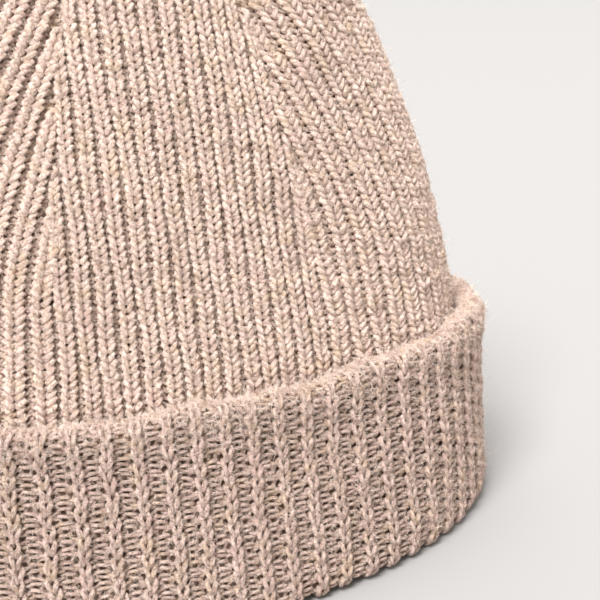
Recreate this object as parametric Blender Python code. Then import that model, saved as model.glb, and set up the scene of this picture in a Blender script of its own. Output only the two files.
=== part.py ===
"""Cuffed rib-knit hat, standing upright on its folded edge.

The hat is a knitted tube closed at the crown by four darts. Its lower end is turned up on the
outside as a cuff. +Z is up, -Y is the front, and the origin is the centre of the base.
Run with: blender --background --python part.py
"""

import math

import bmesh
import bpy
from mathutils import Vector

# ---------------------------------------------------------------- driving dimensions (metres)

HAT_HEIGHT = 0.200              # fold line to the top of the crown

CUFF_HALF_WIDTH = 0.097         # outside of the cuff at the fold, left to right
CUFF_HALF_DEPTH = 0.060         # outside of the cuff at the fold, front to back
CUFF_HEIGHT = 0.058             # fold line to the top of the rolled rim
CUFF_LEAN_SIDE = 0.0005         # how far the rim stands in from the fold at the sides
CUFF_LEAN_FRONT = 0.007         # and at the front and back

KNIT_THICKNESS = 0.0036         # one layer of rib knit
RIM_THICKNESS = 0.0060          # the rolled edge along the cuff's top
RIM_DEPTH = 0.0085              # height of the rolled edge
FOLD_ROUND = 0.0030             # rounding of the outer lower edge
FOLD_LIP = 0.0070               # height of the fold where the fabric turns in

SLIDE_CLEARANCE_FRONT = 0.0008  # body to rim and fold, front and back
SLIDE_CLEARANCE_SIDE = 0.0020   # body to rim and fold, at the sides
HEM_LIFT = 0.0005               # the body's lower end above the base
HEM_ROUND = 0.0010              # chamfer of the body's lower end

WIDTH_FALL = (1.30, 0.43)       # how the crown closes seen from the front
DEPTH_FALL = (1.10, 0.50)       # how the crown closes seen from the side

DART_ANGLE = math.radians(66)   # plan angle of each dart from the hat's side
DART_START = 0.30               # share of the crown's height where the darts begin
DART_VALLEY = 0.17              # how deep the crown folds in along a dart, as a share of radius
DART_VALLEY_SPREAD = math.radians(9)

SEAM_WIDTH = 0.0030             # linked seam and dart ridges on the inside
SEAM_HEIGHT = 0.0012
GAP = 0.0003                    # between pieces that touch

GATHER_RADIUS = 0.0055          # drawn-in ring of yarn inside the crown's top
GATHER_DROP = 0.0085            # ring below the inside of the crown's top
YARN_RADIUS = 0.0010
KNOT_RADIUS = 0.0022
KNOT_TAIL = 0.014

LABEL_WIDTH = 0.022
LABEL_LENGTH = 0.028
LABEL_THICKNESS = 0.0006
LABEL_TOP = 0.053               # the label's sewn edge above the base
THREAD_RADIUS = 0.00025
STITCH_COUNT = 7
STITCH_RISE = 0.0016

AROUND = 60                     # points around every ring
CROWN_LEVELS = 15               # rings from the rim to the crown's top
LAST_LEVEL = 0.985              # share of the crown's height at the topmost ring
CUFF_LEVELS = 4                 # rings up the plain part of the cuff

# ---------------------------------------------------------------- derived sizes

RIM_HALF_WIDTH = CUFF_HALF_WIDTH - CUFF_LEAN_SIDE
RIM_HALF_DEPTH = CUFF_HALF_DEPTH - CUFF_LEAN_FRONT
BODY_HALF_WIDTH = RIM_HALF_WIDTH - RIM_THICKNESS - SLIDE_CLEARANCE_SIDE
BODY_HALF_DEPTH = RIM_HALF_DEPTH - RIM_THICKNESS - SLIDE_CLEARANCE_FRONT
DART_ANGLES = {
    "front_right": -DART_ANGLE,
    "front_left": DART_ANGLE - math.pi,
    "back_left": math.pi - DART_ANGLE,
    "back_right": DART_ANGLE,
}
BACK = math.pi / 2              # plan angle of the back seam

# ---------------------------------------------------------------- scene and materials


def clear_scene():
    """Remove every object, so that the script can be run again in an open file."""
    for old in list(bpy.data.objects):
        bpy.data.objects.remove(old, do_unlink=True)


def make_material(name, colour, roughness):
    """A plain matte material."""
    material = bpy.data.materials.new(name)
    material.use_nodes = True
    shader = material.node_tree.nodes["Principled BSDF"]
    shader.inputs["Base Color"].default_value = (*colour, 1.0)
    shader.inputs["Roughness"].default_value = roughness
    shader.inputs["Metallic"].default_value = 0.0
    return material


# ---------------------------------------------------------------- shapes


def loft(name, rings, material, closed=False, tips=None):
    """Skin a list of point rings as one closed body.

    The first and last rings are capped, flat or with a tip point each. With closed=True the last
    ring joins the first instead, which makes a tube bent round on itself.
    """
    mesh = bpy.data.meshes.new(name)
    bm = bmesh.new()
    rows = [[bm.verts.new(point) for point in ring] for ring in rings]
    count = len(rows[0])
    pairs = list(zip(rows, rows[1:]))
    if closed:
        pairs.append((rows[-1], rows[0]))
    for low, high in pairs:
        for i in range(count):
            j = (i + 1) % count
            bm.faces.new((low[i], low[j], high[j], high[i]))
    if tips:
        for tip, row in zip(tips, (rows[0], rows[-1])):
            centre = bm.verts.new(tip)
            for i in range(count):
                bm.faces.new((row[i], row[(i + 1) % count], centre))
    elif not closed:
        bm.faces.new(rows[0])
        bm.faces.new(rows[-1])
    bmesh.ops.triangulate(bm, faces=bm.faces[:])
    bmesh.ops.recalc_face_normals(bm, faces=bm.faces[:])
    bm.to_mesh(mesh)
    bm.free()
    mesh.shade_smooth()
    mesh.set_sharp_from_angle(angle=math.radians(40))
    mesh.materials.append(material)
    piece = bpy.data.objects.new(name, mesh)
    bpy.context.collection.objects.link(piece)
    return piece


def ellipse_ring(half_width, half_depth, z):
    """Points around an ellipse at one height."""
    angles = [2 * math.pi * i / AROUND for i in range(AROUND)]
    return [Vector((half_width * math.cos(a), half_depth * math.sin(a), z)) for a in angles]


def smooth_step(value):
    """0 below 0, 1 above 1, and a smooth rise between."""
    value = min(max(value, 0.0), 1.0)
    return value * value * (3 - 2 * value)


def dart_fold(angle, share):
    """How far the crown folds in at a plan angle, as a share of its radius."""
    depth = DART_VALLEY * smooth_step((share - DART_START) / (1 - DART_START))
    fold = 0.0
    for dart in DART_ANGLES.values():
        turn = (angle - dart + math.pi) % (2 * math.pi) - math.pi
        fold += math.exp(-((turn / DART_VALLEY_SPREAD) ** 2))
    return depth * fold


def crown_point(angle, share, inner):
    """A point on the crown's outer or inner face, share 0 at the rim's height and 1 at the top."""
    wall = KNIT_THICKNESS if inner else 0.0
    width = (BODY_HALF_WIDTH - wall) * (1 - share ** WIDTH_FALL[0]) ** WIDTH_FALL[1]
    depth = (BODY_HALF_DEPTH - wall) * (1 - share ** DEPTH_FALL[0]) ** DEPTH_FALL[1]
    keep = 1 - dart_fold(angle, share)
    z = CUFF_HEIGHT + share * (HAT_HEIGHT - wall - CUFF_HEIGHT)
    return Vector((width * keep * math.cos(angle), depth * keep * math.sin(angle), z))


def crown_shares():
    """Heights of the crown's rings, closer together towards the top."""
    steps = [i / CROWN_LEVELS for i in range(CROWN_LEVELS + 1)]
    return [LAST_LEVEL * (1 - (1 - step) ** 1.7) for step in steps]


def crown_ring(share, inner):
    """Points around the crown at one height."""
    return [crown_point(2 * math.pi * i / AROUND, share, inner) for i in range(AROUND)]


def make_body(material):
    """The knitted tube and crown: a cup with an open lower end."""
    inner_width = BODY_HALF_WIDTH - KNIT_THICKNESS
    inner_depth = BODY_HALF_DEPTH - KNIT_THICKNESS
    shares = crown_shares()
    rings = [crown_ring(share, True) for share in reversed(shares)]
    rings.append(ellipse_ring(inner_width, inner_depth, HEM_LIFT + HEM_ROUND))
    rings.append(ellipse_ring(inner_width + HEM_ROUND, inner_depth + HEM_ROUND, HEM_LIFT))
    rings.append(ellipse_ring(BODY_HALF_WIDTH - HEM_ROUND, BODY_HALF_DEPTH - HEM_ROUND, HEM_LIFT))
    rings.append(ellipse_ring(BODY_HALF_WIDTH, BODY_HALF_DEPTH, HEM_LIFT + HEM_ROUND))
    rings.extend(crown_ring(share, False) for share in shares)
    tips = (Vector((0.0, 0.0, HAT_HEIGHT - KNIT_THICKNESS)), Vector((0.0, 0.0, HAT_HEIGHT)))
    return loft("knit_body", rings, material, tips=tips)


def cuff_outside(z):
    """Half width and half depth of the cuff's plain outer face at a height."""
    share = z / CUFF_HEIGHT
    return (CUFF_HALF_WIDTH - CUFF_LEAN_SIDE * share, CUFF_HALF_DEPTH - CUFF_LEAN_FRONT * share)


def cuff_heights():
    """Heights of the rings on the plain part of the cuff, from the fold up to the rim."""
    low = FOLD_LIP + KNIT_THICKNESS
    high = CUFF_HEIGHT - RIM_DEPTH - KNIT_THICKNESS / 2
    return [low + (high - low) * i / (CUFF_LEVELS - 1) for i in range(CUFF_LEVELS)]


def make_cuff(material):
    """The turned-up layer, with its rolled rim and the fold at its foot."""
    lip_width = BODY_HALF_WIDTH + SLIDE_CLEARANCE_SIDE
    lip_depth = BODY_HALF_DEPTH + SLIDE_CLEARANCE_FRONT
    heights = cuff_heights()
    rings = []
    # the fold: a flat foot with a rounded outer edge
    rings.append(ellipse_ring(lip_width + HEM_ROUND, lip_depth + HEM_ROUND, 0.0))
    for turn in (0, 30, 60, 90):
        inset = FOLD_ROUND * (1 - math.sin(math.radians(turn)))
        z = FOLD_ROUND * (1 - math.cos(math.radians(turn)))
        rings.append(ellipse_ring(CUFF_HALF_WIDTH - inset, CUFF_HALF_DEPTH - inset, z))
    # the plain outer face
    for z in heights:
        width, depth = cuff_outside(z)
        rings.append(ellipse_ring(width - GAP, depth - GAP, z))
    # the rolled rim, a half round on top of two short straight sides
    rim_radius = RIM_THICKNESS / 2
    shoulder = CUFF_HEIGHT - rim_radius
    rings.append(ellipse_ring(RIM_HALF_WIDTH, RIM_HALF_DEPTH, CUFF_HEIGHT - RIM_DEPTH + rim_radius / 2))
    for turn in range(0, 181, 30):
        inset = rim_radius * (1 - math.cos(math.radians(turn)))
        z = shoulder + rim_radius * math.sin(math.radians(turn))
        rings.append(ellipse_ring(RIM_HALF_WIDTH - inset, RIM_HALF_DEPTH - inset, z))
    rim_inner_z = CUFF_HEIGHT - RIM_DEPTH + rim_radius / 2
    rings.append(ellipse_ring(RIM_HALF_WIDTH - RIM_THICKNESS, RIM_HALF_DEPTH - RIM_THICKNESS, rim_inner_z))
    # the plain inner face
    for z in reversed(heights):
        width, depth = cuff_outside(z)
        rings.append(ellipse_ring(width - KNIT_THICKNESS, depth - KNIT_THICKNESS, z))
    # the fabric turning in towards the body
    rings.append(ellipse_ring(lip_width + HEM_ROUND, lip_depth + HEM_ROUND, FOLD_LIP))
    rings.append(ellipse_ring(lip_width, lip_depth, FOLD_LIP - HEM_ROUND))
    rings.append(ellipse_ring(lip_width, lip_depth, HEM_ROUND))
    return loft("turn_up_cuff", rings, material, closed=True)


def make_ridge(name, path, inward, material):
    """A low ridge of linked stitches along a path, raised in the inward directions."""
    rings = []
    for index, (point, rise) in enumerate(zip(path, inward)):
        before = path[max(index - 1, 0)]
        after = path[min(index + 1, len(path) - 1)]
        along = (after - before).normalized()
        side = along.cross(rise).normalized()
        base = point + rise * GAP
        half = SEAM_WIDTH / 2
        rings.append([
            base - side * half,
            base + side * half,
            base + side * half * 0.55 + rise * SEAM_HEIGHT,
            base - side * half * 0.55 + rise * SEAM_HEIGHT,
        ])
    return loft(name, rings, material)


def inward_direction(angle, half_width, half_depth):
    """Horizontal direction from the wall towards the inside of an ellipse."""
    outward = Vector((math.cos(angle) / half_width, math.sin(angle) / half_depth, 0.0))
    return -outward.normalized()


def make_darts(material):
    """The four linked seams that close the crown."""
    shares = [share for share in crown_shares() if DART_START * 0.6 < share < 0.93]
    for place, angle in DART_ANGLES.items():
        path = [crown_point(angle, share, True) for share in shares]
        rise = inward_direction(angle, BODY_HALF_WIDTH, BODY_HALF_DEPTH)
        make_ridge("crown_dart_" + place, path, [rise] * len(path), material)


def make_back_seams(material):
    """The seam down the back, inside the body and behind the cuff."""
    rise = Vector((0.0, -1.0, 0.0))
    inner_depth = BODY_HALF_DEPTH - KNIT_THICKNESS
    path = [Vector((0.0, inner_depth, HEM_LIFT + HEM_ROUND + GAP))]
    path.extend(crown_point(BACK, share, True) for share in crown_shares() if share < 0.8)
    make_ridge("back_seam_body", path, [rise] * len(path), material)

    path = []
    for z in cuff_heights():
        path.append(Vector((0.0, cuff_outside(z)[1] - KNIT_THICKNESS, z)))
    make_ridge("back_seam_cuff", path, [rise] * len(path), material)


def make_gather_thread(material):
    """The loop of yarn that draws the crown's top together."""
    z = HAT_HEIGHT - KNIT_THICKNESS - GATHER_DROP
    bpy.ops.mesh.primitive_torus_add(
        location=(0.0, 0.0, z), major_radius=GATHER_RADIUS, minor_radius=YARN_RADIUS,
        major_segments=24, minor_segments=8)
    ring = bpy.context.object
    ring.name = "crown_gather_thread"
    ring.data.shade_smooth()
    ring.data.materials.append(material)


def make_tie_knot(material):
    """The knot under the gathering yarn, with its cut end hanging down."""
    top = HAT_HEIGHT - KNIT_THICKNESS - GATHER_DROP - YARN_RADIUS - GAP
    centre = top - KNOT_RADIUS
    rings = []

    def turned_ring(radius, z):
        angles = [2 * math.pi * i / 10 for i in range(10)]
        return [Vector((GATHER_RADIUS + radius * math.cos(a), radius * math.sin(a), z)) for a in angles]

    for turn in (75, 45, 15, -15, -45):
        level = math.radians(turn)
        rings.append(turned_ring(KNOT_RADIUS * math.cos(level), centre + KNOT_RADIUS * math.sin(level)))
    tail_top = centre - KNOT_RADIUS * math.sin(math.radians(62))
    rings.append(turned_ring(YARN_RADIUS * 0.9, tail_top))
    rings.append(turned_ring(YARN_RADIUS * 0.8, tail_top - KNOT_TAIL / 2))
    rings.append(turned_ring(YARN_RADIUS * 0.9, tail_top - KNOT_TAIL))
    loft("crown_tie_knot", rings, material)


def label_face_y():
    """The label's back face, clear of the back seam."""
    return BODY_HALF_DEPTH - KNIT_THICKNESS - SEAM_HEIGHT - 3 * GAP


def make_label(material):
    """The blank care label, with its origin on the sewn edge that it turns about."""
    half = LABEL_WIDTH / 2
    thick = LABEL_THICKNESS
    corners = [(-half, -thick / 2), (half, -thick / 2), (half, thick / 2), (-half, thick / 2)]
    levels = (-thick / 2, -LABEL_LENGTH * 0.5, -LABEL_LENGTH)
    rings = [[Vector((x, y, z)) for x, y in corners] for z in levels]
    label = loft("care_label", rings, material)
    label.location = (0.0, label_face_y() - thick / 2, LABEL_TOP)


def make_label_stitches(material):
    """One thread in a zigzag that holds the label's edge to the seam."""
    curve = bpy.data.curves.new("care_label_stitches", "CURVE")
    curve.dimensions = "3D"
    curve.bevel_depth = THREAD_RADIUS
    curve.bevel_resolution = 1
    curve.use_fill_caps = True
    spline = curve.splines.new("POLY")
    count = 2 * STITCH_COUNT
    spline.points.add(count - 1)
    low = LABEL_TOP + LABEL_THICKNESS / 2 + THREAD_RADIUS + GAP
    for i in range(count):
        x = LABEL_WIDTH * 0.9 * (i / (count - 1) - 0.5)
        z = low + (STITCH_RISE if i % 2 else 0.0)
        spline.points[i].co = (x, label_face_y() - LABEL_THICKNESS / 2, z, 1.0)
    curve.materials.append(material)
    stitches = bpy.data.objects.new("care_label_stitches", curve)
    bpy.context.collection.objects.link(stitches)


def main():
    clear_scene()
    body_knit = make_material("body_knit", (0.62, 0.47, 0.38), 0.95)
    cuff_knit = make_material("cuff_knit", (0.52, 0.38, 0.31), 0.95)
    seam_yarn = make_material("seam_yarn", (0.55, 0.42, 0.34), 0.95)
    gather_yarn = make_material("gather_yarn", (0.58, 0.44, 0.36), 0.95)
    label_satin = make_material("label_satin", (0.86, 0.85, 0.82), 0.45)
    label_thread = make_material("label_thread", (0.80, 0.76, 0.70), 0.60)

    make_body(body_knit)
    make_cuff(cuff_knit)
    make_darts(seam_yarn)
    make_back_seams(seam_yarn)
    make_gather_thread(gather_yarn)
    make_tie_knot(gather_yarn)
    make_label(label_satin)
    make_label_stitches(label_thread)


main()
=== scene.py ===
# %% [markdown]
# # A cuffed rib-knit hat, stitch by stitch
#
# This lesson dresses a plain CAD hat in real knitting. The CAD model gives the outer shape, the cuff
# and the parts that move. Everything soft is made here as yarn: each course of stitches is one long
# curve that loops through its neighbours, swept into a round strand and laid on the hat's surface.

# %% Load the frame
import math
from collections import namedtuple

import bpy
import numpy as np
from mathutils import Matrix, Vector


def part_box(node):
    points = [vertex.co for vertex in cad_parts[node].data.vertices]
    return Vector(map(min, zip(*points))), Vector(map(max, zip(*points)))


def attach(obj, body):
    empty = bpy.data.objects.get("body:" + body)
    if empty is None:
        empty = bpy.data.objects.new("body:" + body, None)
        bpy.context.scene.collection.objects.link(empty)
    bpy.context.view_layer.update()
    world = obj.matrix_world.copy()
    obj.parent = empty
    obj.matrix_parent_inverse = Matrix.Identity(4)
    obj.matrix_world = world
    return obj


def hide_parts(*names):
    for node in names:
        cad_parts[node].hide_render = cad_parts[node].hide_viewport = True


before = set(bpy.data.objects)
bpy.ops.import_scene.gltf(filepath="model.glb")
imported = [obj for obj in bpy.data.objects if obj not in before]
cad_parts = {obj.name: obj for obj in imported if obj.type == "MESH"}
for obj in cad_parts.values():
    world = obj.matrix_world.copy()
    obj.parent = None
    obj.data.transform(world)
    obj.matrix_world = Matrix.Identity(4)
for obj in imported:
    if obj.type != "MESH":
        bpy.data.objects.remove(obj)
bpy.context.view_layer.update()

SEED = 2026


def add_object(name, data):
    """Put a mesh, a light or a camera in the scene."""
    made = bpy.data.objects.new(name, data)
    bpy.context.scene.collection.objects.link(made)
    return made


def unit(vectors):
    return vectors / np.linalg.norm(vectors, axis=-1, keepdims=True)


def running_total(steps):
    """Sums of the steps so far, from 0."""
    return np.concatenate([[0.0], np.cumsum(steps)])


def path_length(points):
    return running_total(np.linalg.norm(np.diff(points, axis=0), axis=1))


def read_table(table, row, column):
    """Values between a table's entries, at rows and columns that aren't whole numbers."""
    row_low = np.minimum(row.astype(int), table.shape[0] - 2)
    column_low = np.minimum(column.astype(int), table.shape[1] - 2)
    part, across = row - row_low, column - column_low
    low, high = (table[at, column_low] * (1 - across) + table[at, column_low + 1] * across
                 for at in (row_low, row_low + 1))
    return low * (1 - part) + high * part


# %% [markdown]
# ## The camera
#
# The hat is seen close up, from its front left and a little above, so that the right half of the
# front fills the picture. The camera could be aimed by eye with a Track To constraint, but a place
# and three angles are easier to repeat: how far it is turned to the right, tilted down and leaned.

# %% Camera
CAMERA_PLACE = Vector((-0.0989, -0.3734, 0.2057))
CAMERA_TURN = math.radians(20.87)
CAMERA_TILT = math.radians(19.82)
CAMERA_LEAN = math.radians(-2.76)
CAMERA_LENS = 90.2


def make_camera():
    forward = Vector((
        math.sin(CAMERA_TURN) * math.cos(CAMERA_TILT),
        math.cos(CAMERA_TURN) * math.cos(CAMERA_TILT),
        -math.sin(CAMERA_TILT)))
    level = forward.cross(Vector((0, 0, 1))).normalized()
    upright = level.cross(forward)
    right = level * math.cos(CAMERA_LEAN) + upright * math.sin(CAMERA_LEAN)
    up = upright * math.cos(CAMERA_LEAN) - level * math.sin(CAMERA_LEAN)
    data = bpy.data.cameras.new("studio_camera")
    data.lens = CAMERA_LENS
    data.clip_start = 0.01
    camera = add_object("studio_camera", data)
    camera.matrix_world = Matrix.Translation(CAMERA_PLACE) @ Matrix((right, up, -forward)).transposed().to_4x4()
    bpy.context.scene.camera = camera


make_camera()
print("camera", tuple(round(v, 3) for v in CAMERA_PLACE), "lens", CAMERA_LENS)

# %% [markdown]
# ## Sizes
#
# The frame says how big the body and the cuff are. The rest are facts of the knitting: how thick a
# layer is, how many ribs go round, and how far apart the courses lie.

# %% Sizes
BODY_HALF_WIDTH, BODY_HALF_DEPTH, HAT_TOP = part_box("knit_body")[1]
CUFF_HALF_WIDTH, CUFF_HALF_DEPTH, CUFF_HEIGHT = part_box("turn_up_cuff")[1]
label_low, label_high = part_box("care_label")
gather_low, gather_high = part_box("crown_gather_thread")
knot_low, knot_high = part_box("crown_tie_knot")

CUFF_LEAN_SIDE = 0.0005  # how much further in the rim is than the fold, at the sides
CUFF_LEAN_FRONT = 0.007  # the same at the front and the back
WIDTH_FALL = (1.30, 0.43)  # exponents of the crown's outline seen from the front
DEPTH_FALL = (1.10, 0.50)  # and seen from the side

LAYER = 0.0036  # thickness of one layer of rib
RIBS = 68  # one knit and one purl column each
FRONT_RIBS = 14  # ribs between the two front darts, and between the two back darts
SIDE_RIBS = RIBS // 2 - FRONT_RIBS
BODY_COURSE = 0.00190  # course spacing on the body
CUFF_COURSE = 0.00168  # course spacing on the cuff
YARN = 0.00060  # yarn radius

DART_ANGLE = math.radians(66)
DART_START = 0.30  # share of the height where the fold begins
DART_VALLEY = 0.17  # depth of the fold at the top, as a share of the radius
DART_VALLEY_SPREAD = math.radians(9)
SWELL = 0.011  # dents and swells, as a share of the radius
PUCKER = 0.0035  # how far the gathered middle is drawn down
print("ribs", RIBS, "body", round(BODY_HALF_WIDTH, 4), round(BODY_HALF_DEPTH, 4), "cuff height", CUFF_HEIGHT)

# %% [markdown]
# ## The surface that the body's stitches lie on
#
# The knit is laid on the middle of the fabric's thickness. A height is given as a share: 0 where the
# cuff's rim is, 1 at the crown's top, and below 0 for the straight tube that the cuff hides. The
# crown closes with four darts, and along each dart the surface folds inwards.

# %% Body surface
TUBE_END = -CUFF_HEIGHT / (HAT_TOP - CUFF_HEIGHT)
TOP_SHARE = 0.99995  # just short of the top, where the outline shrinks to nothing
SHARE_STEP = 2e-3  # small steps for finding which way the surfaces face
LENGTH_STEP = 4e-4
ANGLE_STEP = 1e-3


def smooth_step(value):
    value = np.clip(value, 0.0, 1.0)
    return value * value * (3 - 2 * value)


def crown_axes(share):
    """Half width and half depth of the mid layer at a height."""
    up = np.clip(share, 0.0, TOP_SHARE)
    width = (BODY_HALF_WIDTH - LAYER / 2) * (1 - up ** WIDTH_FALL[0]) ** WIDTH_FALL[1]
    depth = (BODY_HALF_DEPTH - LAYER / 2) * (1 - up ** DEPTH_FALL[0]) ** DEPTH_FALL[1]
    return width, depth


def dart_fold(angle, share):
    """How far the crown folds in, as a share of its radius."""
    deep = DART_VALLEY * smooth_step((share - DART_START) / (1 - DART_START))
    fold = np.zeros_like(angle)
    for dart in (DART_ANGLE, math.pi - DART_ANGLE, math.pi + DART_ANGLE, -DART_ANGLE):
        turn = (angle - dart + math.pi) % math.tau - math.pi
        fold = fold + np.exp(-((turn / DART_VALLEY_SPREAD) ** 2))
    return deep * fold


def slow_waves(angle, height):
    """Soft dents and swells of a hat that is only lightly filled."""
    swell = 0.45 * np.sin(2 * angle + 9 * height + 0.6) + 0.35 * np.sin(5 * angle - 14 * height + 2.1)
    return swell + 0.30 * np.sin(9 * angle + 21 * height + 4.0)


def on_ellipse(width, depth, z, angle):
    return np.stack([width * np.cos(angle), depth * np.sin(angle), z], axis=-1)


def crown_surface(share, angle):
    """Points on the body's mid layer."""
    width, depth = crown_axes(share)
    keep = 1 - dart_fold(angle, share)
    rise = smooth_step(share / 0.25) * smooth_step((1 - share) / 0.2)
    keep = keep + rise * SWELL * slow_waves(angle, share)
    pucker = PUCKER * smooth_step(1 - (width + depth) / 0.016)
    z = CUFF_HEIGHT + share * (HAT_TOP - LAYER / 2 - CUFF_HEIGHT) - pucker
    return on_ellipse(width * keep, depth * keep, z, angle)


def normals_of(surface, first, angle):
    """Outward directions of a surface, from small steps along it."""
    step = SHARE_STEP if surface is crown_surface else LENGTH_STEP
    along = surface(first + step, angle) - surface(first - step, angle)
    around = surface(first, angle + ANGLE_STEP) - surface(first, angle - ANGLE_STEP)
    return unit(np.cross(around, along))


print("mid layer at the rim", [round(float(size), 4) for size in crown_axes(0.0)], "m")

# %% [markdown]
# ## Where the ribs run
#
# On a hat closed with darts the ribs of each panel run straight up side by side until a dart cuts
# them off. So a rib keeps its distance from its panel's middle, and the number of ribs shrinks.
# A table turns "this far from the panel's middle at this height" into an angle round the hat.

# %% Rib tables
SHARES = TUBE_END + (TOP_SHARE - TUBE_END) * (1 - (1 - np.linspace(0, 1, 600)) ** 2.5)
TABLE_STEPS = 300
SPACING_BLEND = 0.00015  # how softly the rib spacing settles at its least value


def panel_table(middle, half_angle, ribs, least):
    """Angles for arc lengths from a panel's middle, the dart's arc length and the rib spacing.

    The ribs fill the panel and draw in with it until they reach their least spacing. From there
    up the dart cuts ribs off.
    """
    offsets = np.linspace(0, half_angle * 1.25, 400)
    width, depth = crown_axes(SHARES)
    across = np.diff(width[:, None] * np.cos(middle + offsets))
    along = np.diff(depth[:, None] * np.sin(middle + offsets))
    arc = np.array([running_total(steps) for steps in np.hypot(across, along)])
    reach = arc[0, -1]
    wanted = np.linspace(0, reach, TABLE_STEPS)
    angles = np.array([np.interp(wanted, row, offsets) for row in arc])
    at_dart = np.array([np.interp(half_angle, offsets, row) for row in arc])
    pitch = least + SPACING_BLEND * np.logaddexp(0, (2 * at_dart / ribs - least) / SPACING_BLEND)
    return {"reach": reach, "angles": angles, "at_dart": at_dart, "pitch": pitch}


FRONT_TABLE = panel_table(-math.pi / 2, math.pi / 2 - DART_ANGLE, FRONT_RIBS, 0.0047)
SIDE_TABLE = panel_table(0.0, DART_ANGLE, SIDE_RIBS, 0.0064)


def angle_from_arc(table, share, arc):
    """Signed angle from a panel's middle, for a signed arc length at a height."""
    row = np.interp(share, SHARES, np.arange(len(SHARES)))
    column = np.clip(np.abs(arc) / table["reach"], 0, 1) * (TABLE_STEPS - 1)
    return np.sign(arc) * read_table(table["angles"], row, column)


def length_up(width, depth, z):
    """Length along the fabric up to each entry of a section."""
    return running_total(np.hypot(np.diff((width + depth) / 2), np.diff(z)))


FABRIC_LENGTH = length_up(*crown_axes(SHARES), CUFF_HEIGHT + SHARES * (HAT_TOP - CUFF_HEIGHT))
print("rib spacing at the rim", round(FRONT_TABLE["pitch"][0], 4), round(SIDE_TABLE["pitch"][0], 4))

# %% [markdown]
# ## One stitch
#
# A knitted loop goes up one side, over the head and down the other, and its foot joins the next
# loop. Sine and cosine waves give that path: a double-speed sideways swing narrows the foot and
# widens the head. A knit stitch brings its legs to the front and a purl stitch takes them back.

# %% Stitch path
LOOP_POINTS = 12


def loop_path(width, swing, height, front, legs, head, flatness=1.0):
    """Sideways, upward and outward position along one loop, starting at the left foot.

    width and swing are in ribs, height in courses, legs and head in metres. front is +1 for a
    knit stitch and -1 for a purl stitch. A flatness below 1 flattens the head and the foot.
    Every argument is one number, or an array with one value per stitch.
    """
    t = np.arange(LOOP_POINTS) / LOOP_POINTS
    column = lambda values: np.atleast_1d(values)[:, None]
    side = column(width) * (t - 0.5) + column(swing) * np.sin(4 * math.pi * t)
    wave = np.cos(math.tau * t)[None, :]
    up = -column(height) * np.sign(wave) * np.abs(wave) ** column(flatness)
    bow = ((1 - np.cos(4 * math.pi * t)) / 2) ** 0.75
    lift = column(legs) * bow + column(head) * (1 - np.cos(math.tau * t)) / 2
    return side, up, column(front) * lift


print("one loop has", LOOP_POINTS, "points")

# %% [markdown]
# ## From path to yarn
#
# A curve object with a bevel would also make a round strand, but there are thousands of loops, so
# the strands are swept with arrays. Each strand gets two UV maps: one in millimetres along and
# round the yarn, which the yarn's twist and colour streaks use, and one that packs every strand
# into a square without overlaps, for baking.

# %% Sweeping strands
YARN_SIDES = 5
BAKE_ROWS = 7  # rows per strand in the baking square
Strand = namedtuple("Strand", "points normals radii")


def strand_rings(strand):
    """Rings of points round one strand."""
    along = unit(np.gradient(strand.points, axis=0))
    across = unit(np.cross(along, strand.normals))
    out = np.cross(across, along)
    turn = math.tau * np.arange(YARN_SIDES) / YARN_SIDES
    ring = np.cos(turn)[None, :, None] * across[:, None, :] + np.sin(turn)[None, :, None] * out[:, None, :]
    return strand.points[:, None, :] + strand.radii[:, None, None] * ring


def strand_faces(count, start):
    """Quads between neighbouring rings of one strand."""
    ring = np.arange(count - 1)[:, None] * YARN_SIDES + start
    k = np.arange(YARN_SIDES)
    n = (k + 1) % YARN_SIDES
    quads = np.stack([ring + k, ring + YARN_SIDES + k, ring + YARN_SIDES + n, ring + n], axis=-1)
    return quads.reshape(-1, 4)


def strand_uvs(points, row_first, rows_here, row_count):
    """Yarn UVs in millimetres and bake UVs in the unit square, one pair for each quad's corners."""
    length = path_length(points) * 1000
    segment = np.arange(len(points) - 1)
    per_row = math.ceil(len(segment) / rows_here)
    row = (row_first + segment // per_row)[:, None]
    place = (segment % per_row)[:, None]
    side = np.arange(YARN_SIDES)
    bake, yarn = np.empty((2, len(segment), YARN_SIDES, 4, 2))
    for corner, (far, after) in enumerate(((0, 0), (1, 0), (1, 1), (0, 1))):
        bake[..., corner, 0] = 0.01 + 0.98 * (place + far) / per_row
        bake[..., corner, 1] = (row + (0.08 + 0.84 * (side + after) / YARN_SIDES)) / row_count
        yarn[..., corner, 0] = length[segment + far][:, None]
        yarn[..., corner, 1] = (side + after) / YARN_SIDES
    return yarn.reshape(-1, 2), bake.reshape(-1, 2)


def new_piece(name, verts, corner_verts, sizes, uvs, material):
    """A mesh object from flat arrays: points, face corners, corners per face and UV maps."""
    mesh = bpy.data.meshes.new(name)
    mesh.vertices.add(len(verts))
    mesh.vertices.foreach_set("co", np.ascontiguousarray(verts, dtype=np.float32).ravel())
    mesh.loops.add(len(corner_verts))
    mesh.loops.foreach_set("vertex_index", np.asarray(corner_verts, dtype=np.int32))
    mesh.polygons.add(len(sizes))
    mesh.polygons.foreach_set("loop_start", np.concatenate([[0], np.cumsum(sizes)[:-1]]).astype(np.int32))
    mesh.update(calc_edges=True)
    for layer, values in uvs.items():
        mesh.uv_layers.new(name=layer).data.foreach_set("uv", np.asarray(values, dtype=np.float32).ravel())
    mesh.shade_smooth()
    mesh.materials.append(material)
    return add_object(name, mesh)


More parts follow.
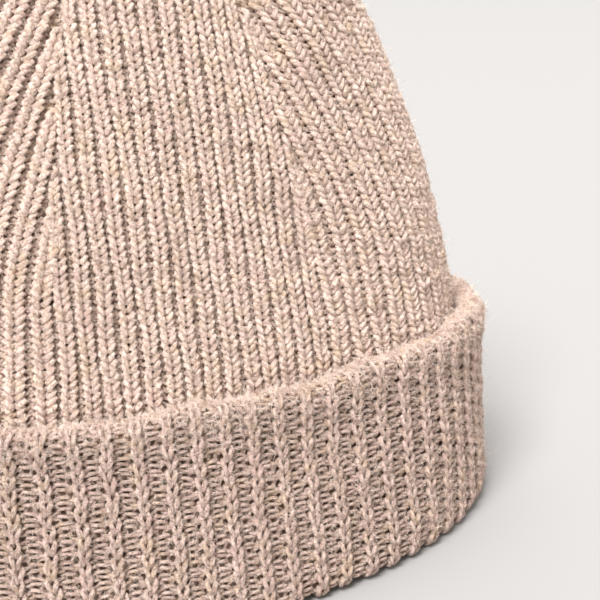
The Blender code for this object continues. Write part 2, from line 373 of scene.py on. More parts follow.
def piece_from_strands(name, strands, material, rows_each=BAKE_ROWS):
    """One mesh object holding a list of strands, each closed with a cap at both ends."""
    sides = YARN_SIDES
    verts, quads, uvs, caps = [], [], [], []
    start = 0
    row_count = rows_each * len(strands) + 1
    for index, strand in enumerate(strands):
        count = len(strand.points)
        verts.append(strand_rings(strand).reshape(-1, 3))
        quads.append(strand_faces(count, start))
        uvs.append(strand_uvs(strand.points, index * rows_each, rows_each, row_count))
        caps += [start + np.arange(sides), start + (count - 1) * sides + np.arange(sides)[::-1]]
        start += count * sides
    quads = np.concatenate(quads)
    turn = math.tau * np.arange(len(caps) * sides) / sides
    cap_uv = np.stack([0.5 + 0.004 * np.cos(turn), 1 + (0.3 * np.sin(turn) - 0.4) / row_count], axis=-1)
    yarn, bake = (np.concatenate([*maps, cap_uv]) for maps in zip(*uvs))
    sizes = np.concatenate([np.full(len(quads), 4), np.full(len(caps), sides)])
    corners = np.concatenate([quads.ravel(), *caps])
    return new_piece(name, np.concatenate(verts), corners, sizes, {"yarn": yarn, "OFBake": bake}, material)


def dress(piece, body, node, slot):
    """Put a piece on a body, in place of a CAD node. The slot is not used."""
    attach(piece, body)
    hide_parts(node)


print("strands have", YARN_SIDES, "sides")

# %% [markdown]
# ## Wool colours and yarn relief as node groups
#
# The wool is a marl: cream, beige and brown fibres spun together, so colour runs in streaks along
# the yarn. An image could show that, but nodes stay sharp at any distance. Two groups are shared by
# every yarn: one gives the streaky colour, and one gives the height of the twisted plies.

# %% Node groups
def new_group(name, inputs, output):
    """A node group. Its inputs get the given defaults, and its output is of the same kind."""
    group = bpy.data.node_groups.new(name, "ShaderNodeTree")
    for socket, value in inputs.items():
        kind = "NodeSocketColor" if isinstance(value, tuple) else "NodeSocketFloat"
        group.interface.new_socket(name=socket, in_out="INPUT", socket_type=kind).default_value = value
    group.interface.new_socket(name=output, in_out="OUTPUT", socket_type=kind)
    return group, group.nodes.new("NodeGroupInput").outputs, group.nodes.new("NodeGroupOutput")


def fill(tree, node, values):
    """Fill a node's inputs: a socket is linked, and any other value is set."""
    for socket, value in values.items():
        if isinstance(value, bpy.types.NodeSocket):
            tree.links.new(value, node.inputs[socket])
        else:
            node.inputs[socket].default_value = value
    return node


def math_node(tree, operation, *values):
    node = tree.nodes.new("ShaderNodeMath")
    node.operation = operation
    return fill(tree, node, dict(enumerate(values))).outputs[0]


def times(tree, first, second):
    return math_node(tree, "MULTIPLY", first, second)


def noise_node(tree, vector, scale, detail, roughness=0.55):
    node = tree.nodes.new("ShaderNodeTexNoise")
    fill(tree, node, {"Vector": vector, "Scale": scale, "Detail": detail, "Roughness": roughness})
    return node.outputs["Fac"]


def stretch(tree, low, high, value, kind="SMOOTHSTEP"):
    node = tree.nodes.new("ShaderNodeMapRange")
    node.interpolation_type = kind
    return fill(tree, node, {"From Min": low, "From Max": high, "Value": value}).outputs["Result"]


def mix_colour(tree, factor, first, second):
    node = tree.nodes.new("ShaderNodeMix")
    node.data_type = "RGBA"
    return fill(tree, node, {"Factor": factor, "A": first, "B": second}).outputs["Result"]


def place_on_hat(tree):
    return tree.nodes.new("ShaderNodeTexCoord").outputs["Object"]


def yarn_space(tree, along, around):
    """Yarn coordinates with a drift from the place on the hat, so that no streak repeats."""
    uv = tree.nodes.new("ShaderNodeUVMap")
    uv.uv_map = "yarn"
    yarn, place = (fill(tree, tree.nodes.new("ShaderNodeSeparateXYZ"), {0: socket}).outputs
                   for socket in (uv.outputs["UV"], place_on_hat(tree)))
    join = fill(tree, tree.nodes.new("ShaderNodeCombineXYZ"), {
        0: times(tree, yarn["X"], along), 1: times(tree, yarn["Y"], around), 2: times(tree, place["Z"], 700.0)})
    return join.outputs[0], yarn


def build_marl_group():
    group, given, result = new_group("marl_colour", {
        "Cream": (0.9, 0.8, 0.7, 1), "Beige": (0.6, 0.5, 0.4, 1), "Brown": (0.3, 0.2, 0.15, 1),
        "Rose": (0.80, 0.56, 0.50, 1), "Tan": (0.78, 0.58, 0.38, 1)}, "Colour")
    place = place_on_hat(group)
    streak = noise_node(group, yarn_space(group, 0.75, 7.0)[0], 1.0, 4.0, 0.70)
    fleck = noise_node(group, yarn_space(group, 1.3, 2.0)[0], 1.7, 2.0, 0.5)
    hue = noise_node(group, place, 210.0, 2.0, 0.6)
    patch = noise_node(group, place, 95.0, 3.0, 0.6)
    drift = noise_node(group, place, 22.0, 2.0)
    base = mix_colour(group, stretch(group, 0.36, 0.60, streak), given["Beige"], given["Cream"])
    base = mix_colour(group, times(group, stretch(group, 0.52, 0.66, hue), 0.42), base, given["Rose"])
    base = mix_colour(group, times(group, stretch(group, 0.46, 0.34, hue), 0.38), base, given["Tan"])
    dark = times(group, stretch(group, 0.50, 0.72, patch), 0.24)
    fleck_dark = times(group, stretch(group, 0.54, 0.68, fleck), 0.66)
    shade = times(group, stretch(group, 0.45, 0.70, drift), 0.12)
    together = math_node(group, "MAXIMUM", math_node(group, "MAXIMUM", dark, fleck_dark), shade)
    fill(group, result, {"Colour": mix_colour(group, together, base, given["Brown"])})
    return group


def build_ply_group():
    group, given, result = new_group("ply_relief", {"Lay": 3.2, "Plies": 2.0, "Fibre": 0.5}, "Height")
    fibre_space, yarn = yarn_space(group, 1.1, 11.0)
    turns = math_node(group, "DIVIDE", yarn["X"], given["Lay"])
    spiral = math_node(group, "ADD", turns, times(group, yarn["Y"], given["Plies"]))
    round_ply = math_node(group, "ABSOLUTE", math_node(group, "SINE", times(group, spiral, math.pi)))
    fibre = times(group, noise_node(group, fibre_space, 1.6, 4.0, 0.7), given["Fibre"])
    fill(group, result, {"Height": math_node(group, "ADD", round_ply, fibre)})
    return group


MARL = build_marl_group()
PLY = build_ply_group()
print("node groups", MARL.name, PLY.name)

# %% [markdown]
# ## Yarn materials
#
# Wool scatters light softly and has a pale bloom where fibres stand against the light, so each yarn
# has full roughness and some sheen. The colours are set here and the groups spread them.

# %% Yarn materials


YARN_RELIEF = 0.00030  # depth of the plies' relief, in metres


def make_material(name):
    material = bpy.data.materials.new(name)
    material.use_nodes = True
    return material, material.node_tree, material.node_tree.nodes["Principled BSDF"]


def place_group(tree, group, values):
    node = tree.nodes.new("ShaderNodeGroup")
    node.node_tree = group
    return fill(tree, node, values)


def bump_node(tree, height, strength, distance):
    values = {"Height": height, "Strength": strength, "Distance": distance}
    return fill(tree, tree.nodes.new("ShaderNodeBump"), values).outputs["Normal"]


def wool_material(name, cream, beige, brown, sheen=0.16):
    material, tree, shader = make_material(name)
    marl = place_group(tree, MARL, {"Cream": (*cream, 1), "Beige": (*beige, 1), "Brown": (*brown, 1)})
    ply = place_group(tree, PLY, {"Lay": 2.6, "Plies": 2.0, "Fibre": 2.0})
    fill(tree, shader, {
        "Base Color": marl.outputs["Colour"],
        "Normal": bump_node(tree, ply.outputs["Height"], 0.9, YARN_RELIEF),
        "Roughness": 0.92, "Specular IOR Level": 0.15,
        "Sheen Weight": sheen, "Sheen Roughness": 0.45, "Sheen Tint": (1.0, 0.93, 0.86, 1)})
    return material


BROWN = (0.25, 0.14, 0.09)
body_wool = wool_material("oatmeal_wool", (0.98, 0.81, 0.715), (0.66, 0.462, 0.365), BROWN)
# The cuff knits the body's yarn, but its colours are set darker: painted shade for the cuff's upright face, which
# turns away from the light above.
shaded_cuff_wool = wool_material("oatmeal_wool_cuff_painted_shade", (0.82, 0.65, 0.57), (0.44, 0.30, 0.245), BROWN)
print("wool", body_wool.name, shaded_cuff_wool.name)

# %% [markdown]
# ## Knitting the body
#
# Every course starts and ends at the back seam and passes through all the ribs that are still
# open at its height. Wide knit columns stand out and narrow purl columns sink between them. Where
# a dart cuts a rib off, the rest of the rib tucks inside. Small random shifts keep the stitches
# from looking stamped.

# %% Body courses
KNIT_SHARE = 0.82  # how much of a rib the wide knit column takes
EDGE_OVERLAP = 0.003  # how far panels run past each other's edge below the darts
KNIT_LEG = 0.00140  # how far a knit stitch's legs stand out
PURL_LEG = 0.00120  # how far a purl stitch's legs sink in
KNIT_SETBACK = 0.00032  # knit stitches sit back, so feet and heads show inside the hat
USUAL_PITCH = 0.0055  # rib spacing that the plain yarn radius suits
PANELS = (  # middle, table and columns of each panel, from the back seam round
    (math.pi / 2, FRONT_TABLE, range(0, FRONT_RIBS)),
    (math.pi, SIDE_TABLE, range(-SIDE_RIBS, SIDE_RIBS)),
    (1.5 * math.pi, FRONT_TABLE, range(-FRONT_RIBS, FRONT_RIBS)),
    (math.tau, SIDE_TABLE, range(-SIDE_RIBS, SIDE_RIBS)),
    (2.5 * math.pi, FRONT_TABLE, range(-FRONT_RIBS, 0)),
)
LOOP_TURN = math.tau * np.arange(LOOP_POINTS)[None, :] / LOOP_POINTS
LOOP_SPREAD = np.sin(LOOP_TURN / 2)
LOOP_TILT = np.sin(LOOP_TURN)
LOOP_THICKNESS = 1 - 0.12 * np.cos(2 * LOOP_TURN)
MOST_TRIANGLES = 190000  # in one piece
ON_BODY = ("crown", "knit_body", "body_knit")
ON_CUFF = ("cuff", "turn_up_cuff", "cuff_knit")


def share_at(course):
    """Height of a course number, counted from the fold."""
    return np.interp(course * BODY_COURSE, FABRIC_LENGTH, SHARES)


def soften(values):
    """Average neighbours, so that a strand has no corners where panels meet."""
    values[1:-1] = (values[:-2] + 2 * values[1:-1] + values[2:]) / 4
    return values


def uneven(count, dice, strength):
    """Slow thick and thin places along a yarn."""
    drift = np.interp(np.arange(count), np.linspace(0, count, 90), dice.normal(size=90))
    return 1 + strength * drift


def panel_loops(number, middle, table, columns, dice):
    """The stretch of one course that crosses one panel: points, normals and radii."""
    share = float(share_at(number))
    pitch = np.interp(share, SHARES, table["pitch"])
    edge = np.interp(share, SHARES, table["at_dart"])
    edge = edge + EDGE_OVERLAP * (1 - smooth_step((share - DART_START) / 0.06))
    columns = np.array(columns)
    knit = columns % 2 != 0
    room = np.where(knit, 0.12, 0.02) * pitch
    open_columns = np.abs(columns) * pitch / 2 - room < edge
    columns, knit = columns[open_columns], knit[open_columns]
    if not len(columns):
        return None
    jitter = dice.normal(size=(4, len(columns)))
    side, up, out = loop_path(
        width=np.where(knit, KNIT_SHARE, 1 - KNIT_SHARE),
        swing=np.where(knit, 0.262, 0.045),
        height=np.where(knit, 0.97, 0.84) + 0.03 * jitter[0],
        front=np.where(knit, 1, -1),
        legs=np.where(knit, KNIT_LEG, PURL_LEG) * (1 + 0.14 * jitter[1]),
        head=np.where(knit, 0.00022, 0.00012))
    side = side + 0.030 * jitter[2][:, None] * LOOP_SPREAD
    up = up + 0.10 * jitter[3][:, None] * LOOP_SPREAD
    course = (number + up).ravel()
    here = share_at(course)
    arc = (columns[:, None] / 2 + side).ravel() * np.interp(here, SHARES, table["pitch"])
    arc = arc + 0.00025 * np.sin(course * 0.31 + columns.repeat(LOOP_POINTS) * 0.83)
    over = np.maximum(np.abs(arc) - edge, 0)
    arc = np.sign(arc) * (np.minimum(np.abs(arc), edge) + 0.15 * over)
    angle = middle + angle_from_arc(table, here, arc)
    normal = normals_of(crown_surface, here, angle)
    behind = np.where(knit, KNIT_SETBACK, 0.0).repeat(LOOP_POINTS)
    depth = out.ravel() - behind - np.minimum(0.9 * over, 0.0014)
    thick = YARN * np.clip(math.sqrt(pitch / USUAL_PITCH), 0.9, 1.2)
    radii = thick * np.where(knit, 1.22, 0.85)[:, None] * LOOP_THICKNESS
    return crown_surface(here, angle) + normal * depth[:, None], normal, radii.ravel()


def body_course(number, dice):
    """One course of the body as a strand."""
    panels = [loops for panel in PANELS if (loops := panel_loops(number, *panel, dice))]
    points, normals, radii = (np.concatenate(parts) for parts in zip(*panels))
    return Strand(soften(points), normals, soften(radii * uneven(len(radii), dice, 0.06)))


def knit_courses(course, numbers, seed):
    """The courses with the given numbers, all from one stream of random draws."""
    dice = np.random.default_rng(seed)
    return [course(number, dice) for number in numbers]


def knit_pieces(prefix, strands, material, place):
    """Gather strands into pieces of a workable size, all riding on one body."""
    groups, load = [[]], 0
    for strand in strands:
        cost = len(strand.points) * YARN_SIDES * 2
        if load + cost > MOST_TRIANGLES:
            groups.append([])
            load = 0
        groups[-1].append(strand)
        load += cost
    for index, group in enumerate(groups):
        dress(piece_from_strands(f"{prefix}_{index + 1:02d}", group, material), *place)
    print(prefix, len(groups), "pieces,", len(strands), "courses")


body_strands = knit_courses(body_course, range(2, int(FABRIC_LENGTH[-1] / BODY_COURSE)), SEED)
knit_pieces("body_courses", body_strands, body_wool, ON_BODY)

# %% [markdown]
# ## The cuff's surface
#
# The cuff is the same fabric turned inside out: it starts under the fold, rounds the lower edge,
# climbs the outside and rolls over at the top. The path of that section is a short list of bends,
# and the ellipse round the hat is a little narrower at the rim than at the fold.

# %% Cuff surface
RIM_ROLL = 0.0030  # radius of the rolled rim
FOLD_ROLL = 0.0024  # radius of the fold at the bottom
FOLD_LIFT = 0.0021  # height of the yarn's middle where the fold rests on the table
RIM_REACH = (0.0905, 0.0482)  # half width and half depth that the roll's inner side leans in to


def cuff_section():
    """Stations up the cuff: inset from the outer face, height, pull to the body and lean of the roll."""
    inset = LAYER / 2
    stations = [(inset, FOLD_LIFT, pull, 0.0) for pull in (0.75, 0.60, 0.45)]
    for turn in np.radians(np.arange(90, -1, -15)):
        stations.append((inset + FOLD_ROLL * (1 - math.cos(turn)),
                         FOLD_LIFT + FOLD_ROLL * (1 - math.sin(turn)), 0.0, 0.0))
    rim_centre = CUFF_HEIGHT - RIM_ROLL
    path = RIM_ROLL - YARN
    stations += [(inset, z, 0.0, 0.0) for z in np.linspace(0.008, CUFF_HEIGHT - 0.0125, 8)]
    stations.append((inset - 0.0004, CUFF_HEIGHT - 0.0088, 0.0, 0.0))
    for turn in np.radians(np.arange(-25, 181, 12.5)):
        lean = max(0.0, -math.cos(turn))
        stations.append((RIM_ROLL - path * math.cos(turn), rim_centre + path * math.sin(turn), 0.0, lean))
    stations += [(RIM_ROLL + path, rim_centre - drop, 0.0, 1.0) for drop in (0.0025, 0.005, 0.0075)]
    return np.array(stations)


def station_axes(stations):
    """Half width, half depth and height of every station's ellipse."""
    inset, z, pull, lean = stations.T
    width = CUFF_HALF_WIDTH - CUFF_LEAN_SIDE * z / CUFF_HEIGHT - inset
    depth = CUFF_HALF_DEPTH - CUFF_LEAN_FRONT * z / CUFF_HEIGHT - inset
    width = width * (1 - pull) + (BODY_HALF_WIDTH + 0.003) * pull
    depth = depth * (1 - pull) + (BODY_HALF_DEPTH + 0.002) * pull
    return width * (1 - lean) + RIM_REACH[0] * lean, depth * (1 - lean) + RIM_REACH[1] * lean, z


CUFF_AXES = station_axes(cuff_section())
SECTION_Z = CUFF_AXES[2]
SECTION_LENGTH = length_up(*CUFF_AXES)
TURN_STEPS = 720  # steps of the table round the cuff


def cuff_surface(length, angle):
    """Points on the cuff's mid layer, by length up its section and angle round the hat."""
    width, depth, z = (np.interp(length, SECTION_LENGTH, values) for values in CUFF_AXES)
    near_rim = smooth_step((z - CUFF_HEIGHT * 0.7) / (CUFF_HEIGHT * 0.3))
    ripple = 0.0006 * near_rim * (np.sin(11 * angle + 0.4) + 0.7 * np.sin(23 * angle + 1.9))
    grow = 1 + 0.004 * slow_waves(angle, z * 6)
    return on_ellipse(width * grow, depth * grow, z + ripple, angle)


def cuff_angle_table():
    """Angle round the cuff for each share of the ribs, counted from the back seam, at every station.

    The ribs stretch most where the front and back start to turn, and relax at the two ends.
    """
    angles = np.linspace(0, math.tau, 2 * TURN_STEPS + 1) + math.pi / 2
    off_front = np.abs(np.arcsin(np.clip(np.cos(angles), -1, 1)))
    spacing = np.interp(np.degrees(off_front), (0, 30, 60, 90), (1.06, 1.22, 1.02, 0.74))
    table = []
    for width, depth in zip(*CUFF_AXES[:2]):
        steps = np.hypot(np.diff(width * np.cos(angles)), np.diff(depth * np.sin(angles)))
        ribs = running_total(steps / spacing[1:])
        table.append(np.interp(np.linspace(0, 1, TURN_STEPS + 1), ribs / ribs[-1], angles))
    return np.array(table)


CUFF_ANGLES = cuff_angle_table()


def cuff_angle(length, turn):
    """Angle for a share of the ribs, from the back seam."""
    row = np.interp(length, SECTION_LENGTH, np.arange(len(SECTION_LENGTH)))
    return read_table(CUFF_ANGLES, row, np.clip(turn, 0, 1) * TURN_STEPS)


ROLL_TOP = SECTION_LENGTH[np.argmax(SECTION_Z)]
print("cuff section", round(SECTION_LENGTH[-1], 4), "m, top of the roll at", round(ROLL_TOP, 4))

# %% [markdown]
# ## Knitting the cuff
#
# The cuff shows the fabric's other face: narrow columns of long knit loops, with a wide ladder of
# purl bumps between them. The long loops span two courses, so on every second course the yarn only
# passes behind the column. Over the top of the roll the ribs fade into plain stitches.

# %% Cuff courses
COLUMN_SHARE = 0.38  # how much of a rib the narrow knit column takes on this face


def cuff_course(number, dice):
    """One course of the cuff as a strand."""
    plain = float(smooth_step((number * CUFF_COURSE - ROLL_TOP + 0.0020) / 0.0025))
    fade = lambda ribbed, rolled=0.0: ribbed * (1 - plain) + rolled * plain
    columns = np.arange(2 * RIBS)
    knit = columns % 2 == 0
    tall = knit & (number % 2 == 0)
    flat = knit & (number % 2 == 1)
    jitter = dice.normal(size=(5, len(columns)))
    height = fade(np.where(tall, 1.36, np.where(flat, 0.35, 0.80)), 0.90)
    legs = fade(np.where(tall, 0.00125, np.where(flat, -0.0002, -0.0010)), 0.00060)
    side, up, out = loop_path(
        width=fade(np.where(knit, COLUMN_SHARE, 1 - COLUMN_SHARE), 0.5),
        swing=fade(np.where(knit, 0.136, 0.165), 0.14),
        height=height * (1 + 0.05 * jitter[0]),
        front=1,
        legs=legs * (1 + 0.16 * jitter[1]),
        head=fade(np.where(tall, 0.0003, np.where(flat, -0.0004, 0.00040))),
        flatness=fade(np.where(knit, 1.0, 0.62), 1.0))
    side = side + 0.034 * jitter[2][:, None] * LOOP_SPREAD
    up = up + (fade(np.where(tall, 0.5, 0.0)) + 0.12 * jitter[3])[:, None] * LOOP_SPREAD
    up = up + fade((np.where(knit, 0.0, 0.10) + 0.17 * jitter[4])[:, None] * LOOP_TILT)
    length = (number + up).ravel() * CUFF_COURSE
    centres = columns / 2 + 0.25
    turn = (centres[:, None] + side).ravel() / RIBS
    turn = turn + 0.0001 * np.sin(number * 0.23 + centres.repeat(LOOP_POINTS) * 0.71)
    angle = cuff_angle(length, turn)
    normal = normals_of(cuff_surface, length, angle)
    points = cuff_surface(length, angle) + normal * out.reshape(-1, 1)
    thick = fade(np.where(knit, YARN * 1.12, YARN * 0.92), YARN * 1.12)[:, None] * LOOP_THICKNESS
    radii = soften(thick.ravel() * uneven(len(angle), dice, 0.06))
    points = soften(points)
    points[:, 2] = np.maximum(points[:, 2], radii)  # the table presses the fold flat
    return Strand(points, normal, radii)


cuff_strands = knit_courses(cuff_course, range(1, int(SECTION_LENGTH[-1] / CUFF_COURSE)), SEED + 1)
knit_pieces("cuff_courses", cuff_strands, shaded_cuff_wool, ON_CUFF)

# %% [markdown]
# ## Felted fibres and painted shade between the loops
#
# Between the loops of brushed wool lies a thin tangle of loose fibres, so nobody can see through
# the fabric. A shell just behind the middle of each layer stands for that tangle. Its dark warm
# brown is painted shade, not the wool's own colour, and it only shows in the deepest gaps.

# %% Fibre cores
CORE_ANGLES = np.linspace(0, math.tau, 289)[:-1]


def fibre_core(name, surface, firsts, sink, place):
    """A thin shell a little inside a surface, as one piece."""
    first, angle = np.meshgrid(firsts, CORE_ANGLES, indexing="ij")
    points = surface(first, angle) - normals_of(surface, first, angle) * sink
    rows, columns = first.shape
    row = np.arange(rows - 1)[:, None] * columns
    column = np.arange(columns)
    after = (column + 1) % columns
    quads = np.stack([row + column, row + after, row + columns + after, row + columns + column], axis=-1)
    u = np.stack([column, column + 1, column + 1, column], axis=-1) / columns
    v = np.stack([row, row, row + columns, row + columns], axis=-1) / (columns * (rows - 1))
    uv = np.stack(np.broadcast_arrays(u, v), axis=-1)
    dress(new_piece(name, points.reshape(-1, 3), quads.reshape(-1), np.full(quads.size // 4, 4),
                    {"yarn": uv * 200, "OFBake": uv}, core_shade_wool), *place)


# Dark warm brown, not the wool's own colour: painted shade for the deepest gaps between the loops.
core_shade_wool = wool_material("felted_core_painted_shade", (0.34, 0.225, 0.165), (0.22, 0.145, 0.105), (0.13, 0.08, 0.06), sheen=0.05)
body_heights = share_at(np.arange(2.5, len(body_strands), 2.0))
cuff_heights = np.linspace(0.003, SECTION_LENGTH[-1] - 0.002, 44)
fibre_core("body_fibre_shade_core", crown_surface, body_heights, 0.00045, ON_BODY)
fibre_core("cuff_fibre_shade_core", cuff_surface, cuff_heights, 0.00060, ON_CUFF)
print("fibre cores made")

# %% [markdown]
# ## Fuzz
#
# Brushed wool has a halo of loose fibres. Blender's hair curves would do it, but hair doesn't
# export as a solid, so each fibre here is a tiny tapered three-sided spike that bends over. They
# grow from random places on the yarn and lie mostly along the surface.

# %% Fuzz fibres
FIBRES_EACH = 21500
FIBRE_LENGTH = 0.0019
FIBRE_RADIUS = 0.00005
FIBRE_LIFT = 0.12  # how much a fibre leaves the surface


def fuzz_material(name, pale, dark):
    """Loose fibres in the marl's own shades, pale ones and brown ones."""
    material, tree, shader = make_material(name)
    spread = stretch(tree, 0.36, 0.56, noise_node(tree, place_on_hat(tree), 420.0, 3.0, 0.5), "LINEAR")
    fill(tree, shader, {"Base Color": mix_colour(tree, spread, (*dark, 1), (*pale, 1)), "Roughness": 0.9,
                        "Specular IOR Level": 0.2, "Sheen Weight": 0.2})
    return material


def fuzz_piece(name, roots, normals, dice):
    """Bent, tapered fibres growing from given roots."""
    count = len(roots)
    loose = unit(dice.normal(size=(count, 3)))
    heading = unit(loose + normals * (FIBRE_LIFT + 0.5 * dice.random((count, 1))))
    bend = np.cross(heading, dice.normal(size=(count, 3))) * 0.8 - normals * 0.25
    long = (FIBRE_LENGTH * dice.lognormal(0, 0.45, count))[:, None]
    middle = roots + heading * long * 0.5
    tip = middle + unit(heading + bend) * long * 0.5
    side = unit(np.cross(heading, normals + 0.3 * loose))
    other = np.cross(heading, side)
    thick = (FIBRE_RADIUS * (0.7 + 0.6 * dice.random(count)))[:, None]
    turn = math.tau * np.arange(3) / 3
    ring = [math.cos(a) * side + math.sin(a) * other for a in turn]
    verts = np.stack([roots + thick * r for r in ring] + [middle + 0.75 * thick * r for r in ring] + [tip], axis=1)
    base = np.arange(count)[:, None] * 7
    quads = base + np.array([(k, (k + 1) % 3, 3 + (k + 1) % 3, 3 + k) for k in range(3)]).ravel()
    tips = base + np.array([(3 + k, 3 + (k + 1) % 3, 6) for k in range(3)]).ravel()
    cells = math.ceil(math.sqrt(count))
    cell = np.stack([np.arange(count) % cells, np.arange(count) // cells], axis=-1)[:, None, :]
    quad_uv = np.array([(k + u, v) for k in range(3) for u, v in ((0, 0), (1, 0), (1, 1), (0, 1))])
    tip_uv = np.array([(k + u, v) for k in range(3) for u, v in ((0, 1), (1, 1), (0.5, 2))])
    inset = lambda uv: ((cell + 0.1 + 0.8 * uv / np.array([3, 2])) / cells).reshape(-1, 2)
    uvs = np.concatenate([inset(quad_uv), inset(tip_uv)])
    sizes = np.repeat((4, 3), count * 3)
    corners = np.concatenate([quads.ravel(), tips.ravel()])
    return new_piece(name, verts.reshape(-1, 3), corners, sizes, {"OFBake": uvs}, fuzz_wool)


def fibre_roots(strands, dice, dense):
    """Random places on the outer side of the strands, with their normals. dense weighs heights."""
    points, normals, radii = (np.concatenate(parts) for parts in zip(*strands))
    chance = dense(points[:-1, 2])
    picked = dice.choice(len(chance), size=FIBRES_EACH, p=chance / chance.sum())
    along = dice.random((FIBRES_EACH, 1))
    place = points[picked] * (1 - along) + points[picked + 1] * along
    tilt = unit(normals[picked] + 0.8 * dice.normal(size=(FIBRES_EACH, 3)))
    return place + tilt * radii[picked][:, None] * 0.8, normals[picked]


def grow_fuzz(prefix, strands, pieces, seed, place, dense):
    dice = np.random.default_rng(seed)
    for index in range(pieces):
        roots, normals = fibre_roots(strands, dice, dense)
        dress(fuzz_piece(f"{prefix}_{index + 1}", roots, normals, dice), *place)
    print(prefix, pieces * FIBRES_EACH, "fibres")


def rim_density(z):
    """More fibres near the rim, and none where the hat stands on the table."""
    return (z > 0.006) * (1 + 2.5 * smooth_step((z - CUFF_HEIGHT + 0.010) / 0.008))


fuzz_wool = fuzz_material("loose_fibres", (1.0, 0.85, 0.74), (0.44, 0.28, 0.20))
grow_fuzz("body_fuzz", body_strands[27:], 7, SEED + 2, ON_BODY, np.ones_like)
grow_fuzz("cuff_fuzz", cuff_strands[4:-5], 5, SEED + 3, ON_CUFF, rim_density)

# %% [markdown]
# ## Linked seams
#
# Inside the hat the back seam and the four darts are linked with a chain of yarn, which makes a
# small ridge. Each ridge is a chain stitch: a strand that swings from side to side and doubles
# back on itself, so that every link passes through the one before.

# %% Seam chains
SEAM_DEPTH = LAYER / 2 + 0.0009
CHAIN_LINK = 0.0026  # length of one link
CHAIN_SWING = 0.0009  # how far a link swings to each side
CHAIN_YARN = 0.00042  # radius of the linking yarn
seam_wool = wool_material("linking_yarn", (0.74, 0.60, 0.50), (0.56, 0.43, 0.34), (0.30, 0.20, 0.15))


def chain_stitch(path, normals):
    """A chain of links along a path. The path's points are evenly spaced."""
    length = path_length(path)
    count = int(length[-1] / CHAIN_LINK)
    turn = np.linspace(0, count, count * 16)
    along = np.clip((turn + 0.55 * np.sin(4 * math.pi * turn) / 2) * CHAIN_LINK, 0, length[-1])
    at = lambda values: np.stack([np.interp(along, length, column) for column in values.T], axis=-1)
    place, normal = at(path), at(normals)
    across = unit(np.cross(at(np.gradient(path, axis=0)), normal))
    place = place + across * (CHAIN_SWING * np.sin(math.tau * turn))[:, None]
    place = place + normal * (0.0002 * np.cos(4 * math.pi * turn))[:, None]
    return Strand(place, normal, np.full(len(place), CHAIN_YARN))


def seam_piece(name, surface, firsts, angle, body, node):
    """A chain stitch just inside a surface, at one angle round the hat."""
    angles = np.full(len(firsts), angle)
    normals = normals_of(surface, firsts, angles)
    strand = chain_stitch(surface(firsts, angles) - normals * SEAM_DEPTH, normals)
    dress(piece_from_strands(name, [strand], seam_wool), body, node, "seam_yarn")


DARTS = {
    "crown_dart_front_right": -DART_ANGLE,
    "crown_dart_front_left": DART_ANGLE - math.pi,
    "crown_dart_back_left": math.pi - DART_ANGLE,
    "crown_dart_back_right": DART_ANGLE,
}
for node, dart_angle in DARTS.items():
    seam_piece(f"{node}_chain", crown_surface, np.linspace(0.18, 0.93, 120), dart_angle, "crown", node)
shares = np.linspace(TUBE_END + 0.02, 0.79, 160)
lengths = np.interp((0.0106, 0.0477), SECTION_Z[8:20], SECTION_LENGTH[8:20])
seam_piece("back_seam_body_chain", crown_surface, shares, math.pi / 2, "crown", "back_seam_body")
seam_piece("back_seam_cuff_chain", cuff_surface, np.linspace(*lengths, 60), math.pi / 2, "cuff", "back_seam_cuff")
print("seam chains", len(DARTS) + 2)

# %% [markdown]
# ## Gathering yarn and its knot
#
# A doubled yarn draws the crown's last opening shut and is knotted inside. Plied yarn is two
# strands that wind round each other, so the ring and the knot's tail are pairs of helices, and the
# knot itself is a small overhand loop.

# %% Gathering yarn
def plied(path, normals, yarn, lay):
    """Two strands winding round a path."""
    forward = np.gradient(path, axis=0)
    across = unit(np.cross(forward, normals))
    out = unit(np.cross(across, forward))
    length = path_length(path)
    strands = []
    for start in (0.0, math.pi):
        turn = (math.tau * length / lay + start)[:, None]
        place = path + (across * np.cos(turn) + out * np.sin(turn)) * yarn * 0.9
        strands.append(Strand(place, normals, np.full(len(path), yarn)))
    return strands


def gathering_ring():
    radius = (gather_high.x - gather_low.x) / 2 - 0.0010
    turn = np.linspace(0, math.tau * 1.02, 140)
    path = on_ellipse(radius, radius, np.full(140, (gather_low.z + gather_high.z) / 2), turn)
    return plied(path, on_ellipse(1, 1, np.zeros(140), turn), 0.00050, 0.0034)


def tie_knot():
    centre = np.array([(knot_low.x + knot_high.x) / 2, (knot_low.y + knot_high.y) / 2, knot_high.z - 0.0022])
    turn = np.linspace(0, math.tau, 90)
    swell = 0.00085 + 0.00055 * np.cos(3 * turn)
    loop = centre + on_ellipse(swell, swell, 0.00075 * np.sin(3 * turn), 2 * turn)
    drop = np.linspace(0, 1, 60)
    end = np.array([centre[0], centre[1], knot_low.z + 0.0005])
    tail = centre * (1 - drop[:, None]) + end * drop[:, None]
    tail[:, 0] += 0.0004 * np.sin(5 * drop)
    sideways = np.tile([1.0, 0.0, 0.0], (60, 1))
    return [Strand(loop, unit(loop - centre), np.full(90, 0.00062))] + plied(tail, sideways, 0.00040, 0.0028)


def gather_piece(name, strands, node):
    dress(piece_from_strands(name, strands, seam_wool, rows_each=3), "crown", node, "gather_yarn")


gather_piece("crown_gather_yarn", gathering_ring(), "crown_gather_thread")
gather_piece("crown_knot_yarn", tie_knot(), "crown_tie_knot")
print("gathering ring and knot made")

# %% [markdown]
# ## The sewn-in label
#
# A blank satin tab hangs from the back seam. It is a thin folded ribbon: two layers with a rounded
# fold at the bottom, a woven edge along each side and a slight wave. Weft floats give satin its
# gloss, so the material is smooth across and ribbed along.

